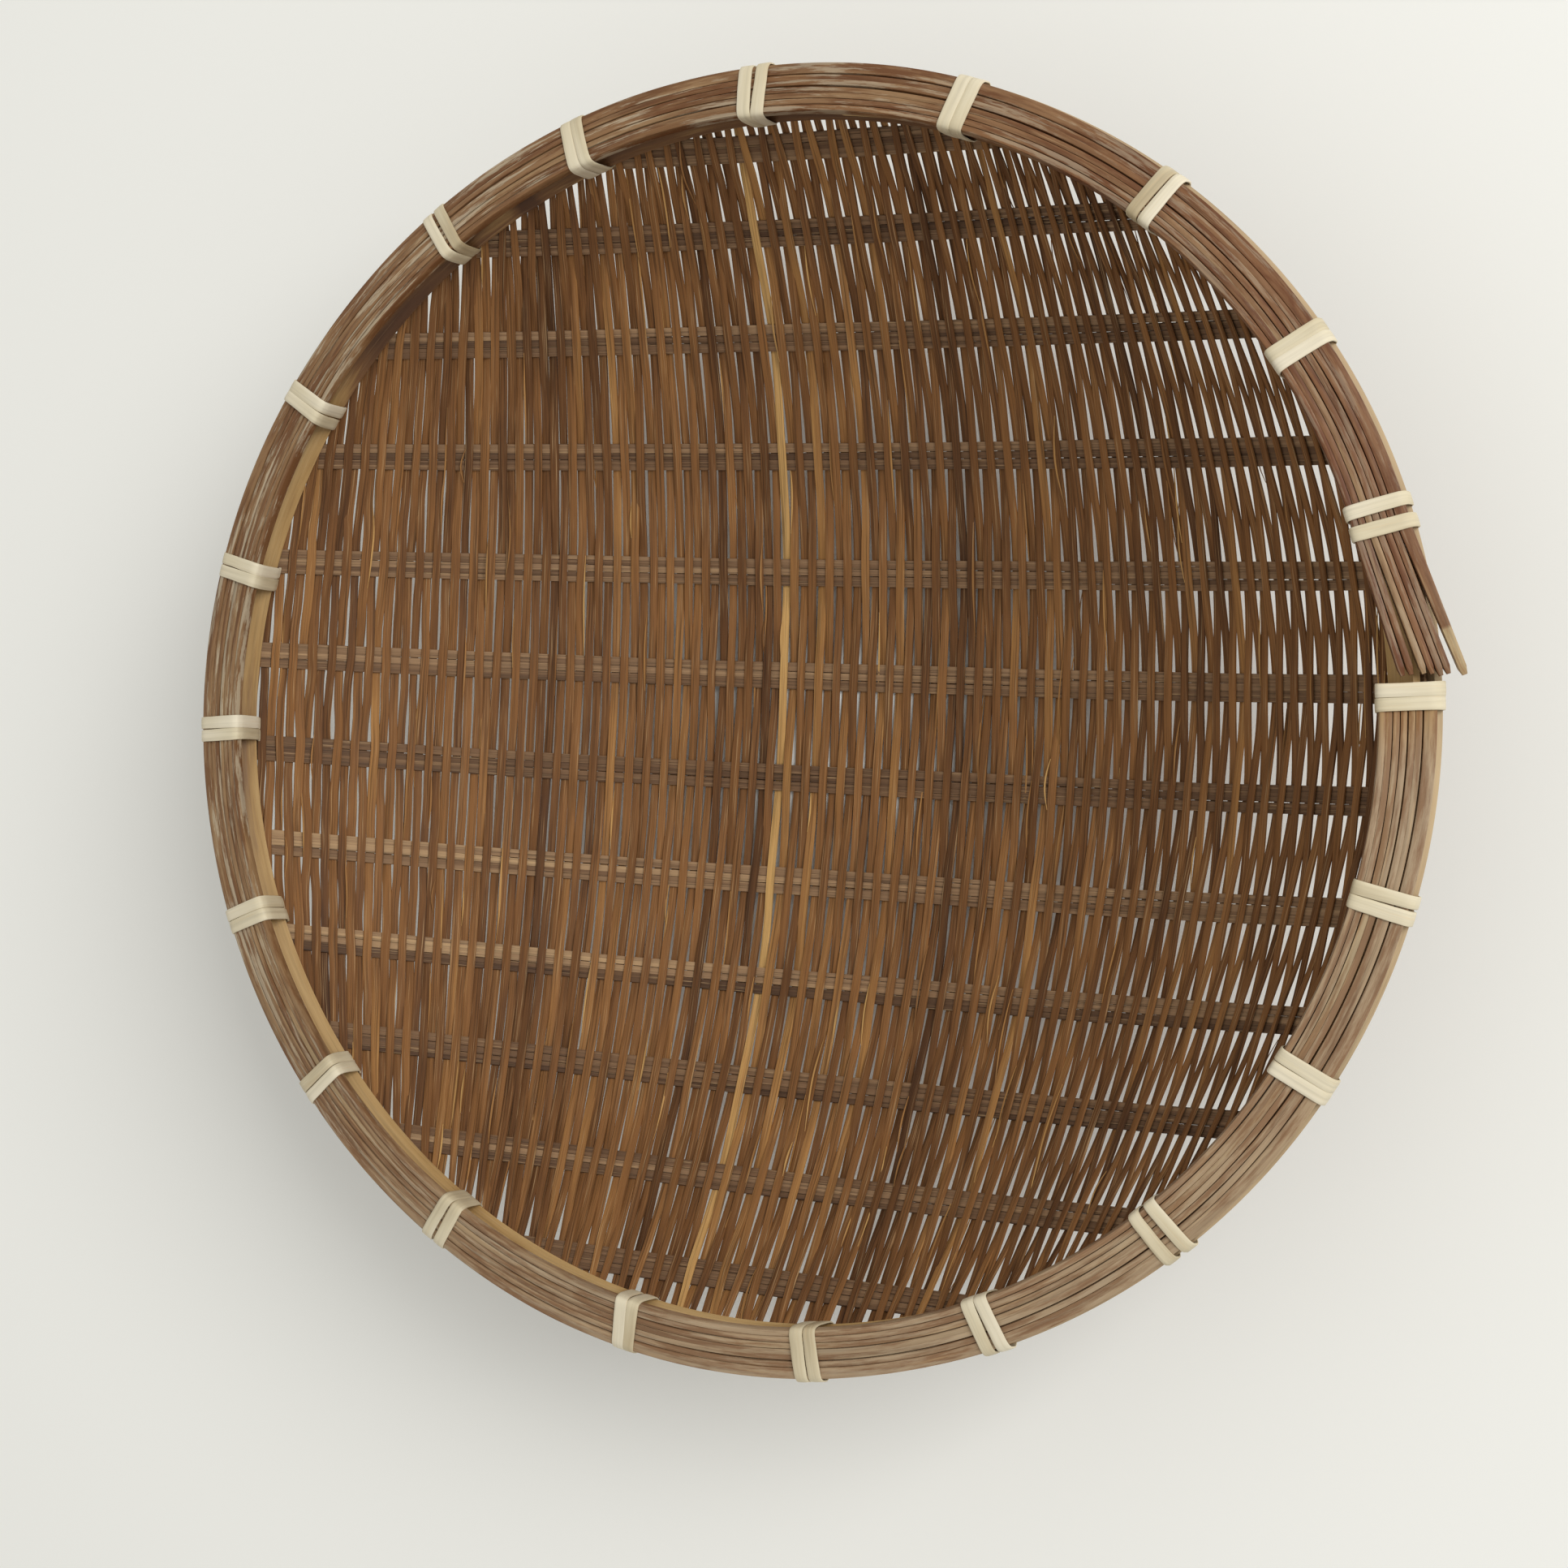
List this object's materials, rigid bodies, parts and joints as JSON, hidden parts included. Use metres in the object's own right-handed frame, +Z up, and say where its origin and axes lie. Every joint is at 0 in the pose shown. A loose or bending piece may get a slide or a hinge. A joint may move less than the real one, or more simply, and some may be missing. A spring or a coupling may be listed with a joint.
{
  "type": "winnowing basket",
  "caption": "Shallow round winnowing basket of long strips woven over cross ribs, with a cane-lashed splint rim.",
  "frame": {"origin": "lowest point of the bowl, on its axis, where the basket rests on a level surface", "axes": "+Z up along the bowl's axis, through the middle of the rim; +Y along the long strips, with the closely bunched strips at +X +Y; +X along the cross ribs, towards the free tail of the rim splints"},
  "size_m": [0.409, 0.4008, 0.0977],
  "materials": {
    "long_strip": "split rattan or bamboo strip, matte, medium brown with age",
    "cross_rib": "split bamboo splint, matte, grey-brown",
    "inner_hoop": "bent split bamboo, satin, straw",
    "outer_hoop": "bent split bamboo, satin, pale tan",
    "rim_splint": "smoked splint, satin, mottled brown and grey-tan",
    "cane": "flat rattan cane, satin, cream"
  },
  "bodies": {
    "root": {"cross_rib_01": "cross_rib", "cross_rib_02": "cross_rib", "cross_rib_03": "cross_rib", "cross_rib_04": "cross_rib", "cross_rib_05": "cross_rib", "cross_rib_06": "cross_rib", "cross_rib_07": "cross_rib", "cross_rib_08": "cross_rib", "cross_rib_09": "cross_rib", "cross_rib_10": "cross_rib", "cross_rib_11": "cross_rib", "cross_rib_12": "cross_rib", "inner_hoop": "inner_hoop", "lashing_01": "cane", "lashing_02": "cane", "lashing_03": "cane", "lashing_04": "cane", "lashing_05": "cane", "lashing_06": "cane", "lashing_07": "cane", "lashing_08": "cane", "lashing_09": "cane", "lashing_10": "cane", "lashing_11": "cane", "lashing_12": "cane", "lashing_13": "cane", "lashing_14": "cane", "lashing_15": "cane", "lashing_16": "cane", "lashing_17": "cane", "lashing_18": "cane", "lashing_19": "cane", "lashing_20": "cane", "long_strips_01": "long_strip", "long_strips_02": "long_strip", "long_strips_03": "long_strip", "long_strips_04": "long_strip", "long_strips_05": "long_strip", "long_strips_06": "long_strip", "long_strips_07": "long_strip", "long_strips_08": "long_strip", "long_strips_09": "long_strip", "long_strips_10": "long_strip", "long_strips_11": "long_strip", "long_strips_12": "long_strip", "long_strips_13": "long_strip", "long_strips_14": "long_strip", "outer_hoop": "outer_hoop", "rim_splint_1": "rim_splint", "rim_splint_2": "rim_splint", "rim_splint_3": "rim_splint", "rim_splint_4": "rim_splint", "rim_splint_5": "rim_splint", "rim_splint_6": "rim_splint", "rim_splint_7": "rim_splint"}
  },
  "joints": []
}
